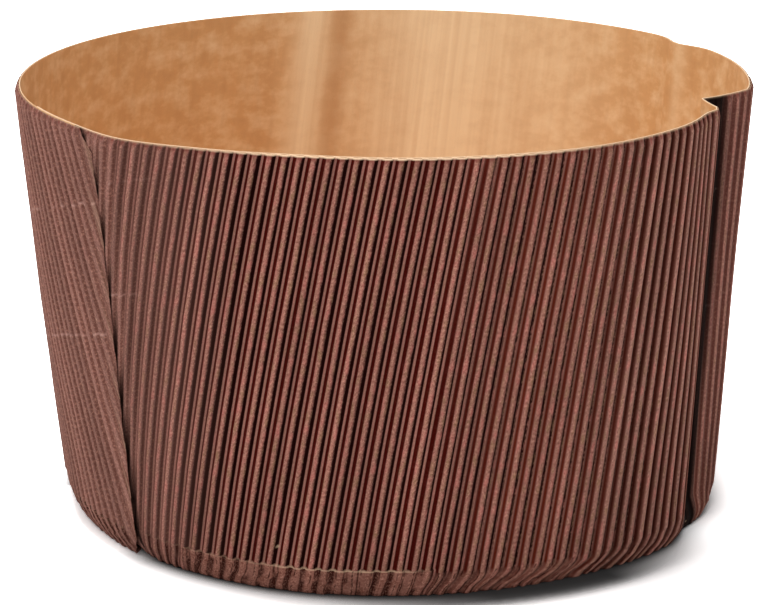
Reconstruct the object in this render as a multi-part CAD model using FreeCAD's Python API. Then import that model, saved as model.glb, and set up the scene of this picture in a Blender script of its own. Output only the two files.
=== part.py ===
"""Paper baking mould for a tall cake: a strip of single-face corrugated paper, its flutes outside and
its flat liner inside, wound once, lapped and glued, hemmed under along its lower edge, with a base disc.

Millimetres and degrees. +Z is up, the floor is z = 0 and the origin is on the mould's axis. Angles run
anticlockwise from +X as seen from above, so 270 is the front. Radii of the strip are those of its glue
surface, where the liner and the fluted ply meet.
"""
import FreeCAD, Part
import math
import os
import random
from collections import namedtuple

# ---- Driving dimensions -----------------------------------------------------------------------------
height = 90.6
rim_radius = 76.05
crease_radius = 69.55        # at the crease where the hem starts to turn in
crease_height = 5.6
foot_radius = 66.9           # at the lower outer edge, where the hem turns under
hem_end_radius = 55.0        # the free edge of the hem, under the base

paper = 0.2                  # thickness of each ply
glue_film = 0.02
hem_film = 0.06              # the same at the hem's free edge, where the plies lie looser
flute_pitch = 2.7
flute_height = 0.95          # from the glue surface to the outside of a crest, on the wall
crest_width = 1.0            # flat top of a crest, outside
crest_width_inside = 0.84
rim_cut_back = 0.35          # the fluted ply is trimmed this far below the rim of the liner

# The strip is wound from strip_start to strip_end, and the part past a whole turn is the lap. The
# coming end lies outside the starting one.
strip_start = 203.5
strip_end = 583.5
lap_lift = 1.95              # how far the outer layer stands off the inner one
lift_from, lift_to = 545.0, 562.0
tuck_from, tuck_to = 224.0, 236.0    # where the inner layer of the hem comes down to the floor again

# The flutes are parallel in the flat blank, so on the cone they lean by an angle that falls steadily.
lean_at_front = 10.6
lean_per_degree = 0.0963
front = 270.0

# The groove: a fold in along a glue line, full height, with a blunt outward fold on its near side.
groove_line = 340.7
groove_depth = 6.2
groove_near_width = 6.4
groove_far_width = 9.3

# Bumps in the plan of the rim: angle, radial offset and half width of each.
rim_bumps = (
    (229.0, 1.9, 9.0),       # springs out beside the lap
    (258.0, -1.3, 13.0),     # flatter front
    (301.0, 0.9, 12.0),
    (334.0, -2.7, 9.0),      # drawn in at the near side of the groove
    (334.4, 1.05, 2.6),      # with a blunt nose on it
    (29.1, -2.6, 4.0),       # shallow kink at the back
)
# Waves in the plan of the base: how many to a turn, their size and the angle of a crest.
base_waves = ((2, 1.6, 135.0), (4, 0.6, 67.5))

hem_twist = 2.5              # the hem's pleats are twisted over here, by up to this angle
hem_twist_at, hem_twist_width = 308.0, 24.0
hem_crush = 0.35             # unevenness of the crushed flutes at the foot, as a share of their height

disc_thickness = 0.5
disc_underside = 1.7         # it lies on the doubled hem at the lap
disc_radius = 65.3
disc_corners = 48

# ---- Levels of the strip ----------------------------------------------------------------------------
# Each has its glue radius and height, the way the flutes stand out (outward and up), the height of
# their crests, the share of the rim's bumps, the share of the groove, how the lap parts its layers
# (outer layer outward, inner layer inward and up) and how many lines a flute is drawn with.
Level = namedtuple(
    "Level", "radius z out up crest rim_share groove_share lap_out lap_in lap_up lines")
middle_height = 0.5 * (height + crease_height)
middle_radius = 0.5 * (rim_radius + crease_radius)
levels = (
    Level(rim_radius, height, 1.0, 0.0, flute_height, 1.0, 1.0, lap_lift, 0.0, 0.0, "wall"),
    Level(middle_radius, middle_height, 1.0, 0.0, flute_height, 0.5, 0.72, lap_lift, 0.0, 0.0, "wall"),
    Level(crease_radius, crease_height, 0.97, -0.24, 0.85, 0.0, 0.45, lap_lift, 0.0, 0.0, "wall"),
    Level(foot_radius, 0.52, 0.71, -0.70, 0.75, 0.0, 0.15, 0.9, 0.3, 1.0, "foot"),
    Level(hem_end_radius, paper + hem_film, 0.0, -1.0, paper + hem_film, 0.0, 0.0, 0.0, 0.0, 0.9, "end"),
)

# Where a flute's lines stand across its pitch, from one glue line to the next, and whether each is on
# the crest. Outside and inside of the ply differ so that its flanks keep the thickness of the paper.
outer_half = 0.5 * crest_width / flute_pitch
inner_half = 0.5 * crest_width_inside / flute_pitch
Line = namedtuple("Line", "outer inner crest")
flute_lines = {
    "wall": (Line(0.0, 0.0, False), Line(0.5 - outer_half, 0.5 - inner_half, True),
             Line(0.5 + outer_half, 0.5 + inner_half, True)),
    "foot": (Line(0.0, 0.0, False), Line(0.5, 0.5, True)),
    "end": (Line(0.5, 0.5, True),),
}
Point = namedtuple("Point", "station angle outer inner")
snap_angle = 0.08            # a corner nearer than this to a cut edge is taken as on it
margin = 12.0                # glue lines are laid this far past the rim's two ends before trimming


# ---- Plan of the strip ------------------------------------------------------------------------------
def bump(angle, centre, width):
    """A smooth hump of height 1 that repeats every turn."""
    away = (angle - centre + 180.0) % 360.0 - 180.0
    return math.exp(-(away / width) ** 2)


def ramp(angle, start, stop):
    """0 before start, 1 after stop and smooth between them."""
    share = min(max((angle - start) / (stop - start), 0.0), 1.0)
    return share * share * (3.0 - 2.0 * share)


def rim_offset(angle):
    return sum(size * bump(angle, centre, width) for centre, size, width in rim_bumps)


def base_offset(angle):
    return sum(size * math.cos(math.radians(count * (angle - crest))) for count, size, crest in base_waves)


def groove_offset(line):
    """Depth of the groove at a line of the strip, told by its angle at the rim."""
    away = line - groove_line
    width = groove_far_width if away > 0.0 else groove_near_width
    return -groove_depth * max(0.0, 1.0 - abs(away) / width)


def glue_point(level, line):
    """Where a line of the strip crosses a level: its angle there and the point."""
    lean = math.radians(lean_at_front - lean_per_degree * (line - front))
    angle = line - math.degrees(math.tan(lean) * (height - level.z) / middle_radius)
    if level.z < crease_height:
        angle -= hem_twist * bump(angle, hem_twist_at, hem_twist_width)
    radius = level.radius + level.rim_share * rim_offset(angle) + groove_offset(line) * level.groove_share
    radius += (1.0 - level.rim_share) * base_offset(angle)
    radius += level.lap_out * ramp(angle, lift_from, lift_to)
    tuck = 1.0 - ramp(angle, tuck_from, tuck_to)
    radius -= level.lap_in * tuck
    turn = math.radians(angle)
    point = FreeCAD.Vector(radius * math.cos(turn), radius * math.sin(turn), level.z + level.lap_up * tuck)
    return angle, point


def next_line(line, direction):
    """The next glue line one pitch further along the rim."""
    step = 0.05 * direction
    lean = math.radians(lean_at_front - lean_per_degree * (line - front))
    left = flute_pitch / math.cos(lean)
    here = glue_point(levels[0], line)[1]
    while left > 0.0:
        line += step
        there = glue_point(levels[0], line)[1]
        left -= here.distanceToPoint(there)
        here = there
    return line


def glue_lines():
    """Rim angles of all the glue lines. One of them is the groove's inner fold."""
    before, after = [groove_line], [groove_line]
    while before[-1] > strip_start - margin:
        before.append(next_line(before[-1], -1))
    while after[-1] < strip_end + margin:
        after.append(next_line(after[-1], 1))
    return before[:0:-1] + after


# ---- Sheets -----------------------------------------------------------------------------------------
def outward(level, chord):
    """The way the flutes stand off a stretch of the strip that runs along chord."""
    flat = FreeCAD.Vector(chord.y, -chord.x, 0.0).normalize() * level.out
    return flat + FreeCAD.Vector(0.0, 0.0, level.up)


def above_floor(point, clearance):
    return FreeCAD.Vector(point.x, point.y, max(point.z, clearance))


def fluted_row(level, lines, crush):
    """Points of the fluted ply along one level."""
    glue = [glue_point(level, line) for line in lines]
    count = len(glue) - 1
    normals = [outward(level, glue[k + 1][1] - glue[k][1]) for k in range(count)]
    step = 2 if level.lines == "end" else 1
    trim = FreeCAD.Vector(0.0, 0.0, rim_cut_back if level is levels[0] else 0.0)
    row = []
    for k in range(step, count - 1, step):
        (angle, start), (next_angle, end) = glue[k], glue[k + 1]
        for line in flute_lines[level.lines]:
            normal, rise = normals[k], level.crest
            if not line.crest:
                normal, rise = (normals[k - 1] + normals[k]) * 0.5, paper + glue_film
            elif level.lines == "foot":
                rise *= 1.0 + hem_crush * crush[k]
            outer = start + (end - start) * line.outer + normal * rise - trim
            inner = start + (end - start) * line.inner + normal * (rise - paper) - trim
            across = 0.5 * (line.outer + line.inner)
            row.append(Point(k + across, angle + (next_angle - angle) * across,
                             above_floor(outer, 0.0), above_floor(inner, paper)))
    return row


def liner_row(level, lines):
    """Points of the liner along one level."""
    glue = [glue_point(level, line) for line in lines]
    step = 2 if level.lines == "end" else 1
    row = []
    for k in range(step, len(glue) - 2, step):
        angle, point = glue[k]
        normal = outward(level, glue[k + 1][1] - glue[k - 1][1])
        row.append(Point(k, angle, point, point - normal * paper))
    return row


def woven(rows):
    """Join each row to the one below it with triangles that face outward.

    Between two like rows a four-sided patch is split along its longer diagonal, which keeps to the
    inside of the cone. Between unlike rows the upper one leads.
    """
    points = [point for row in rows for point in row]
    triangles = []
    base = 0
    for upper, lower in zip(rows, rows[1:]):
        below = base + len(upper)
        i = j = 0
        while i < len(upper) - 1 or j < len(lower) - 1:
            go_up = j == len(lower) - 1
            if not go_up and i < len(upper) - 1:
                lead = lower[j + 1].station - upper[i + 1].station
                long_way = abs(upper[i + 1].angle - lower[j].angle) > abs(lower[j + 1].angle - upper[i].angle)
                unlike = len(upper) != len(lower)
                go_up = lead > 0.001 or (abs(lead) <= 0.001 and (long_way or unlike))
            if go_up:
                triangles.append((base + i, below + j, base + i + 1))
                i += 1
            else:
                triangles.append((base + i, below + j, below + j + 1))
                j += 1
        base = below
    return points, triangles


def trimmed(points, triangles, end, side):
    """Cut a sheet along the straight edge at an angle, keeping what is beyond it (side 1) or before it."""
    points = list(points)
    cuts = {}

    def depth(index):
        value = side * (points[index].angle - end)
        return 0.0 if abs(value) < snap_angle else value

    def cut(a, b):
        a, b = min(a, b), max(a, b)
        if (a, b) not in cuts:
            first, second = points[a], points[b]
            share = (end - first.angle) / (second.angle - first.angle)
            points.append(Point(0.0, end, first.outer + (second.outer - first.outer) * share,
                                first.inner + (second.inner - first.inner) * share))
            cuts[(a, b)] = len(points) - 1
        return cuts[(a, b)]

    kept = []
    for triangle in triangles:
        polygon = []
        for a, b in zip(triangle, triangle[1:] + triangle[:1]):
            if depth(a) >= 0.0:
                polygon.append(a)
            if depth(a) * depth(b) < 0.0:
                polygon.append(cut(a, b))
        if any(depth(index) > 0.0 for index in polygon):
            kept += [(polygon[0], polygon[n], polygon[n + 1]) for n in range(1, len(polygon) - 1)]
    return points, kept


def sheet_solid(rows):
    """A closed solid from the rows of one ply, cut square at the strip's two ends."""
    points, triangles = woven(rows)
    points, triangles = trimmed(points, triangles, strip_start, 1)
    points, triangles = trimmed(points, triangles, strip_end, -1)
    used = sorted({index for triangle in triangles for index in triangle})
    place = {index: n for n, index in enumerate(used)}
    count = len(used)
    corners = [points[index].outer for index in used] + [points[index].inner for index in used]
    outside = [tuple(place[index] for index in triangle) for triangle in triangles]
    facets = outside + [(c + count, b + count, a + count) for a, b, c in outside]
    edges = {edge for a, b, c in outside for edge in ((a, b), (b, c), (c, a))}
    for a, b in edges:
        if (b, a) not in edges:
            facets += [(b, a, a + count), (b, a + count, b + count)]
    skin = Part.Shape()
    skin.makeShapeFromMesh((corners, facets), 0.0001, False)
    return Part.Solid(Part.Shell(skin.Faces)), len(facets)


# ---- Pieces -----------------------------------------------------------------------------------------
def fluted_outer_ply(lines):
    """Corrugated outer ply: thin paper with open channels between it and the liner."""
    chance = random.Random(11)
    crush = [chance.random() for _ in lines]
    return sheet_solid([fluted_row(level, lines, crush) for level in levels])


def inner_liner(lines):
    """Flat kraft liner, glued to the fluted ply along the bottom of each flute."""
    return sheet_solid([liner_row(level, lines) for level in levels])


def base_disc():
    """Card disc that closes the bottom, lying on the hem inside the wall."""
    corners = []
    for n in range(disc_corners):
        angle = 360.0 * n / disc_corners
        radius = disc_radius + base_offset(angle)
        turn = math.radians(angle)
        corners.append(FreeCAD.Vector(radius * math.cos(turn), radius * math.sin(turn), disc_underside))
    outline = Part.makePolygon(corners + corners[:1])
    disc = Part.Face(outline).extrude(FreeCAD.Vector(0.0, 0.0, disc_thickness))
    return disc, 4 * disc_corners - 4


def main():
    os.makedirs("parts", exist_ok=True)
    lines = glue_lines()
    pieces = {
        "fluted_outer_ply": fluted_outer_ply(lines),
        "inner_liner": inner_liner(lines),
        "base_disc": base_disc(),
    }
    for name, (shape, triangles) in pieces.items():
        shape.exportStep("parts/" + name + ".step")
        box = shape.BoundBox
        print(name, "valid", shape.isValid(), "closed", shape.isClosed(), "volume", round(shape.Volume, 1),
              "triangles", triangles, "box", [round(v, 2) for v in
              (box.XMin, box.XMax, box.YMin, box.YMax, box.ZMin, box.ZMax)])


main()
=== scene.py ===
"""Looks of a tall paper cake mould.

The wall is a strip of single-face corrugated paper, its flutes outside and its flat liner inside. It is
wound once, lapped and glued at the left of the front, folded in along a groove at the right, and its
lower edge is gathered and turned under a card disc.

Lengths are millimetres and angles are degrees until a point is placed, and metres from there on. Angles
run anticlockwise from +X as seen from above, so 270 is the front. A line of the strip is told by its
angle at the rim.
"""

import logging
import math
import random
from dataclasses import dataclass
from enum import Enum
from typing import Any, Callable

import bmesh
import bpy
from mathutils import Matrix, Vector, noise


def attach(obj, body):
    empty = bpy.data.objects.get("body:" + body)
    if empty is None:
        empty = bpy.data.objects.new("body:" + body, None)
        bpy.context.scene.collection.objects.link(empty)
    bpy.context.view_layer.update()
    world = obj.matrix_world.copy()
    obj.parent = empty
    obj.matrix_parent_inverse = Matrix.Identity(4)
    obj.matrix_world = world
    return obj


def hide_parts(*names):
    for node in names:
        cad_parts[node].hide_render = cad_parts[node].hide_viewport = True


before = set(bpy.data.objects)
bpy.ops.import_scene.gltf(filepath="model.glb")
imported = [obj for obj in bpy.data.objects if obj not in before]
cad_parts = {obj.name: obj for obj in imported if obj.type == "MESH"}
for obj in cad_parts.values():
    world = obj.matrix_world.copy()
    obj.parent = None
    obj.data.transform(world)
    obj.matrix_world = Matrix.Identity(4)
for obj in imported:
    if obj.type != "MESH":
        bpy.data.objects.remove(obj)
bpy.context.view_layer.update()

log = logging.getLogger("cake_mould")
MM = 0.001
FRONT = 270.0

Colour = tuple[float, float, float, float]
Span = tuple[float, float]
# Rows of a place and the value there.
Table = tuple[Span, ...]
# Rows of a place, a height and a width.
Bumps = tuple[tuple[float, float, float], ...]
# Values that a finish reads, by name, each with what gives it for a flute and a row.
Marks = dict[str, Callable[[float, float], float]]

WHITE: Colour = (1.0, 1.0, 1.0, 1.0)


class Part(Enum):
    """Solids of the part that the finished pieces stand for."""

    FLUTED_PLY = "fluted_outer_ply"
    LINER = "inner_liner"
    DISC = "base_disc"


# ---- Small tools ----
def srgb(red: int, green: int, blue: int) -> Colour:
    """Turn a colour as a screen shows it, from 0 to 255, into the linear one that a shader takes."""
    shares = [value / 255.0 for value in (red, green, blue)]
    linear = [s / 12.92 if s <= 0.04045 else ((s + 0.055) / 1.055) ** 2.4 for s in shares]
    return (linear[0], linear[1], linear[2], 1.0)


def bump(angle: float, centre: float, width: float) -> float:
    """A smooth hump of height 1, down to about a third at its width, that repeats every turn."""
    away = (angle - centre + 180.0) % 360.0 - 180.0
    return math.exp(-((away / width) ** 2))


def summed(bumps: Bumps, angle: float) -> float:
    """The height of a set of bumps at an angle."""
    return sum(height * bump(angle, centre, width) for centre, height, width in bumps)


def clamped(value: float) -> float:
    """The value, kept between 0 and 1."""
    return min(max(value, 0.0), 1.0)


def ramp(value: float, start: float, stop: float) -> float:
    """Rise smoothly from 0 at start to 1 at stop."""
    share = clamped((value - start) / (stop - start))
    return share * share * (3.0 - 2.0 * share)


def between(low: float, high: float, share: float) -> float:
    """The value that lies that share of the way from low to high."""
    return low + (high - low) * share


def looked_up(table: Table, at: float) -> float:
    """Read a table of places and values, straight between its entries and level past its ends."""
    for (left, low), (right, high) in zip(table, table[1:]):
        if left <= at <= right:
            return between(low, high, (at - left) / (right - left))
    return table[0][1] if at < table[0][0] else table[-1][1]


def deselect() -> None:
    """Clear the selection, so that an operator acts only on what is added next."""
    if bpy.context.mode != "OBJECT":
        bpy.ops.object.mode_set(mode="OBJECT")
    bpy.ops.object.select_all(action="DESELECT")


def added(name: str) -> bpy.types.Object:
    """Name the primitive that was added last, and its mesh."""
    piece = bpy.context.active_object
    piece.name = name
    piece.data.name = name
    return piece


def applied(piece: bpy.types.Object, kind: str, **settings: Any) -> None:
    """Add a modifier to a piece and apply it at once.

    Args:
        piece: The piece, which becomes the active object.
        kind: The modifier's type.
        settings: Values of the modifier's own settings.
    """
    bpy.context.view_layer.objects.active = piece
    modifier = piece.modifiers.new(kind.title(), kind)
    for key, value in settings.items():
        setattr(modifier, key, value)
    bpy.ops.object.modifier_apply(modifier=modifier.name)


@dataclass(frozen=True)
class Unevenness:
    """Smooth chance unevenness over the strip: its size, how fast it changes each way, and its own draw."""

    size: float
    across: float
    down: float
    draw: float

    def at(self, across: float, down: float) -> float:
        """How much of it there is at a place, on either side of 0."""
        return self.size * noise.noise(Vector((across * self.across, down * self.down, self.draw)))


# ---- Plan of the strip ----
@dataclass(frozen=True)
class Level:
    """One height of the wound strip.

    The glue surface, where the two plies meet, has this radius and z. The flutes stand off it along out
    and up, by crest. The shares say how much of the rim's bumps and of the groove reach this level, and
    lap_out, lap_in and lap_up how the lap parts its two layers there.
    """

    radius: float
    z: float
    out: float
    up: float
    crest: float
    rim_share: float
    groove_share: float
    lap_out: float
    lap_in: float
    lap_up: float

    def toward(self, other: "Level", share: float) -> "Level":
        """The level that lies that share of the way to another one."""
        mixed = [between(a, b, share) for a, b in zip(vars(self).values(), vars(other).values())]
        return Level(*mixed)


@dataclass(frozen=True)
class Strip:
    """The wound strip: how its lines run round the mould and down it.

    Its depth is 0 at the rim, 1 at the crease where the hem starts to turn in, 2 at the foot where the
    hem turns under, and 3 at the hem's free edge. The lap's outer layer is lifted beyond the angles of
    lift, and its inner one is tucked in before those of tuck. The low bumps also say between which depths
    they set in.
    """

    height: float = 90.6
    start: float = 203.5
    end: float = 583.4
    end_slant: float = -0.006
    pitch: float = 2.7
    middle_radius: float = 72.8
    levels: tuple[Level, ...] = (
        Level(76.05, 90.6, 1.0, 0.0, 0.95, 1.0, 1.0, 0.3, 0.0, 0.0),
        Level(69.6, 6.3, 0.97, -0.24, 0.90, 0.0, 0.7, 1.2, 0.0, 0.0),
        Level(66.9, 0.52, 0.71, -0.70, 0.78, 0.0, 0.25, 0.9, 0.3, 0.8),
        Level(55.0, 0.26, 0.0, -1.0, 0.26, 0.0, 0.0, 0.0, 0.0, 0.8),
    )
    foot_bulge: float = 0.45
    lean_at_front: float = 10.6
    lean_per_degree: float = 0.0963
    groove_line: float = 340.7
    groove_depth: float = 6.2
    groove_near_width: float = 6.4
    groove_far_width: float = 9.3
    rim_bumps: Bumps = (
        (229.0, 1.9, 9.0), (258.0, -1.3, 13.0), (301.0, 0.9, 12.0), (334.0, -2.7, 9.0), (334.4, 1.05, 2.6),
        (29.1, -2.6, 4.0))
    base_waves: tuple[tuple[int, float, float], ...] = ((2, 1.6, 135.0), (4, 0.6, 67.5))
    lift: Span = (545.0, 562.0)
    tuck: Span = (219.0, 222.0)
    hem_twists: Bumps = ((308.0, 1.7, 24.0), (290.0, 1.5, 13.0), (243.0, 1.2, 13.0))
    twist_depths: Span = (1.2, 1.98)
    twist_uneven: Unevenness = Unevenness(0.7, 0.4, 0.5, 4.0)
    low_bumps: tuple[tuple[float, float, float, float, float], ...] = (
        (188.0, -1.3, 24.0, 0.45, 1.1), (298.0, -0.45, 18.0, 0.9, 1.8), (338.0, 1.1, 13.0, 1.0, 1.8))
    dent: float = 0.3
    dent_length: float = 34.0
    margin: float = 12.0
    stride: float = 0.05

    def level(self, depth: float) -> Level:
        """The level at a depth, between the two that are given on either side of it."""
        upper = min(int(depth), len(self.levels) - 2)
        return self.levels[upper].toward(self.levels[upper + 1], depth - upper)

    def depth_at(self, z: float) -> float:
        """The depth of a height on the wall, above the crease."""
        return (self.levels[0].z - z) / (self.levels[0].z - self.levels[1].z)

    def lean(self, line: float) -> float:
        """How far a line leans from upright, in radians."""
        return math.radians(self.lean_at_front - self.lean_per_degree * (line - FRONT))

    def angle(self, line: float, depth: float) -> float:
        """The angle at which a line of the strip crosses a depth."""
        z = self.level(depth).z
        angle = line - math.degrees(math.tan(self.lean(line)) * (self.height - z) / self.middle_radius)
        if depth < self.twist_depths[0]:
            return angle
        twist = summed(self.hem_twists, angle) * (1.0 + self.twist_uneven.at(line, 1.0))
        return angle - twist * ramp(depth, *self.twist_depths)

    def wave(self, angle: float) -> float:
        """How far the base stands out from a round one at an angle."""
        return sum(
            size * math.cos(math.radians(count * (angle - at))) for count, size, at in self.base_waves)

    def groove(self, line: float) -> float:
        """How far the groove takes a line of the strip inwards, as a radial offset."""
        away = line - self.groove_line
        width = self.groove_far_width if away > 0.0 else self.groove_near_width
        return -self.groove_depth * max(0.0, 1.0 - abs(away) / width)

    def point(self, line: float, depth: float) -> Vector:
        """The point of the glue surface at a line and a depth, in millimetres.

        Args:
            line: Angle of the line at the rim.
            depth: Depth of the point.

        Returns:
            Its place.
        """
        level = self.level(depth)
        angle = self.angle(line, depth)
        turn = math.radians(angle)
        radius = level.radius + self.groove(line) * level.groove_share
        radius += level.rim_share * summed(self.rim_bumps, angle)
        radius += (1.0 - level.rim_share) * self.wave(angle)
        radius += level.lap_out * ramp(angle, *self.lift)
        tucked = 1.0 - ramp(angle, *self.tuck)
        radius -= level.lap_in * tucked
        radius += self.foot_bulge * math.sin(math.pi * clamped(depth - 1.0))
        radius += sum(size * bump(angle, at, width) * ramp(depth, start, stop)
                      for at, size, width, start, stop in self.low_bumps)
        around = Vector((math.cos(turn), math.sin(turn), 0.0)) * (self.middle_radius / self.dent_length)
        around.z = level.z / self.dent_length
        radius += self.dent * noise.noise(around) * clamped(2.0 - depth)
        return Vector((radius * math.cos(turn), radius * math.sin(turn), level.z + level.lap_up * tucked))

    def next_line(self, line: float, direction: int) -> float:
        """The next glue line, one pitch along the rim.

        Args:
            line: The glue line to start from.
            direction: 1 to go on along the strip, -1 to go back.

        Returns:
            The angle of the next one at the rim.
        """
        step = self.stride * direction
        left = self.pitch / math.cos(self.lean(line))
        here = self.point(line, 0.0)
        while left > 0.0:
            line += step
            there = self.point(line, 0.0)
            left -= (there - here).length
            here = there
        return line

    def glue_lines(self) -> list[float]:
        """Rim angles of all the glue lines, from a little before the strip's start to past its end."""
        before, after = [self.groove_line], [self.groove_line]
        while before[-1] > self.start - self.margin:
            before.append(self.next_line(before[-1], -1))
        while after[-1] < self.end + self.margin:
            after.append(self.next_line(after[-1], 1))
        return before[:0:-1] + after


# ---- Sheets ----
@dataclass
class Sheet:
    """A ply of the strip, laid out flat as a grid, cut to size and then wound into its place.

    Every point of it is told by its flute, a count of pitches along the strip, and its row. The way it
    faces turns at each glue line, over its blend, a share of the pitch on either side. A point counts as
    on a row when it is as close to it as close says, in rows.
    """

    strip: Strip
    lines: list[float]
    depths: list[float]
    stations: list[float]
    blend: float = 0.12
    close: float = 0.001

    def __post_init__(self) -> None:
        """Work out the glue surface where each glue line crosses each row."""
        self.glue = [[self.strip.point(line, depth) for line in self.lines] for depth in self.depths]
        self.normals = [
            [self.outward(row, k) for k in range(len(self.lines) - 1)] for row in range(len(self.depths))]
        self.run = [0.0]
        for upper, lower in zip(self.depths, self.depths[1:]):
            a, b = self.strip.level(upper), self.strip.level(lower)
            self.run.append(self.run[-1] + math.hypot(a.radius - b.radius, a.z - b.z))

    def outward(self, row: int, k: int) -> Vector:
        """The way that flute k stands off the glue surface at a row."""
        chord = self.glue[row][k + 1] - self.glue[row][k]
        level = self.strip.level(self.depths[row])
        flat = Vector((chord.y, -chord.x, 0.0)).normalized()
        return (flat * level.out + Vector((0.0, 0.0, level.up))).normalized()

    def normal(self, flute: float, row: int) -> Vector:
        """The way the sheet faces at a point, turned smoothly across each glue line."""
        k = int(flute)
        phase = flute - k
        ways = self.normals[row]
        if phase < self.blend:
            way = ways[k - 1].lerp(ways[k], 0.5 + 0.5 * phase / self.blend)
        elif phase > 1.0 - self.blend:
            way = ways[k].lerp(ways[k + 1], 0.5 * (phase - 1.0 + self.blend) / self.blend)
        else:
            way = ways[k]
        return way.normalized()

    def blank(self, name: str) -> bpy.types.Object:
        """Lay the ply out flat: x is the angle round the mould, y is the way down the strip.

        Args:
            name: Name of the new piece.

        Returns:
            The piece, as a flat grid that knows the flute and the row of each of its points.
        """
        flutes = len(self.lines) - 3
        columns, rows = flutes * len(self.stations), len(self.depths) - 1
        deselect()
        bpy.ops.mesh.primitive_grid_add(x_subdivisions=columns, y_subdivisions=rows, size=1.0)
        piece = added(name)
        sheet = bmesh.new()
        sheet.from_mesh(piece.data)
        flute_of = sheet.verts.layers.float.new("flute")
        row_of = sheet.verts.layers.float.new("row")
        for vert in sheet.verts:
            column = round((vert.co.x + 0.5) * columns)
            row = round((0.5 - vert.co.y) * rows)
            turn, station = divmod(column, len(self.stations))
            flute = 1.0 + turn + self.stations[station]
            vert[flute_of] = flute
            vert[row_of] = row
            vert.co = (self.angle(flute, row), -self.run[row], 0.0)
        sheet.to_mesh(piece.data)
        sheet.free()
        return piece

    def line(self, flute: float) -> float:
        """The angle at the rim of the line of the strip that runs through a flute."""
        k = int(flute)
        return between(self.lines[k], self.lines[k + 1], flute - k)

    def angle(self, flute: float, row: float) -> float:
        """The angle round the mould of a point, on the row nearest to it."""
        return self.strip.angle(self.line(flute), self.depths[round(row)])

    def depth_of(self, row: float) -> float:
        """The depth of a row, or of a point between two."""
        upper = min(int(row), len(self.depths) - 2)
        return between(self.depths[upper], self.depths[upper + 1], row - upper)

    def run_of(self, row: float) -> float:
        """How far below the rim the row nearest to a point is, measured down the paper."""
        return self.run[min(round(row), len(self.run) - 1)]

    def cut(self, piece: bpy.types.Object, at: Span, way: Span) -> None:
        """Cut the blank along a straight line.

        Args:
            piece: The blank, laid out flat.
            at: A point of the cut, as an angle and a distance below the rim.
            way: The side to take away.
        """
        deselect()
        piece.select_set(True)
        bpy.context.view_layer.objects.active = piece
        bpy.ops.object.mode_set(mode="EDIT")
        bpy.ops.mesh.select_all(action="SELECT")
        bpy.ops.mesh.bisect(
            plane_co=(at[0], -at[1], 0.0), plane_no=Vector((way[0], -way[1], 0.0)).normalized(),
            use_fill=False, clear_outer=True, clear_inner=False, threshold=0.0001)
        bpy.ops.object.mode_set(mode="OBJECT")

    def wind(self, piece: bpy.types.Object, place: Callable[[float, int], Vector], marks: Marks) -> None:
        """Wind the flat blank into its place on the mould, and mark it for its finish.

        Args:
            piece: The blank, already cut.
            place: Gives the point in millimetres for a flute and a whole row.
            marks: What its finish reads.
        """
        sheet = bmesh.new()
        sheet.from_mesh(piece.data)
        flute_of = sheet.verts.layers.float["flute"]
        row_of = sheet.verts.layers.float["row"]
        written = {name: sheet.verts.layers.float.new(name) for name in marks}
        flat = sheet.loops.layers.uv.verify()
        for vert in sheet.verts:
            flute, row = vert[flute_of], vert[row_of]
            upper = min(int(row + self.close), len(self.depths) - 2)
            share = max(0.0, row - upper)
            point = place(flute, upper)
            if share > self.close:
                point = point.lerp(place(flute, upper + 1), share)
            vert.co = point * MM
            for name, value in marks.items():
                vert[written[name]] = value(flute, row)
            down = between(self.run[upper], self.run[upper + 1], share)
            for loop in vert.link_loops:
                loop[flat].uv = (flute, down / self.strip.pitch)
        for name in ("flute", "row"):
            sheet.verts.layers.float.remove(sheet.verts.layers.float[name])
        sheet.normal_update()
        sheet.to_mesh(piece.data)
        sheet.free()


# ---- Shaders ----
class Value:
    """A number that runs through a shader, with maths written on it as on a plain one."""

    def __init__(self, shader: "Shader", source: bpy.types.NodeSocket) -> None:
        """Wrap the socket that the number comes out of."""
        self.shader = shader
        self.source = source

    def _math(self, operation: str, first: Any, second: Any = 0.0) -> "Value":
        """One step of maths on two numbers, either of which may be plain."""
        return self.shader.node("Math", {"operation": operation}, {0: first, 1: second})

    def __add__(self, other: Any) -> "Value":
        """Add a number."""
        return self._math("ADD", self, other)

    def __sub__(self, other: Any) -> "Value":
        """Take a number away."""
        return self._math("SUBTRACT", self, other)

    def __rsub__(self, other: Any) -> "Value":
        """Take away from a number."""
        return self._math("SUBTRACT", other, self)

    def __mul__(self, other: Any) -> "Value":
        """Multiply by a number."""
        return self._math("MULTIPLY", self, other)

    def at_least(self, other: Any) -> "Value":
        """The larger of it and a number."""
        return self._math("MAXIMUM", self, other)

    def fraction(self) -> "Value":
        """What is left above the whole number."""
        return self._math("FRACT", self)

    def whole(self) -> "Value":
        """The whole number below."""
        return self._math("FLOOR", self)


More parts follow.
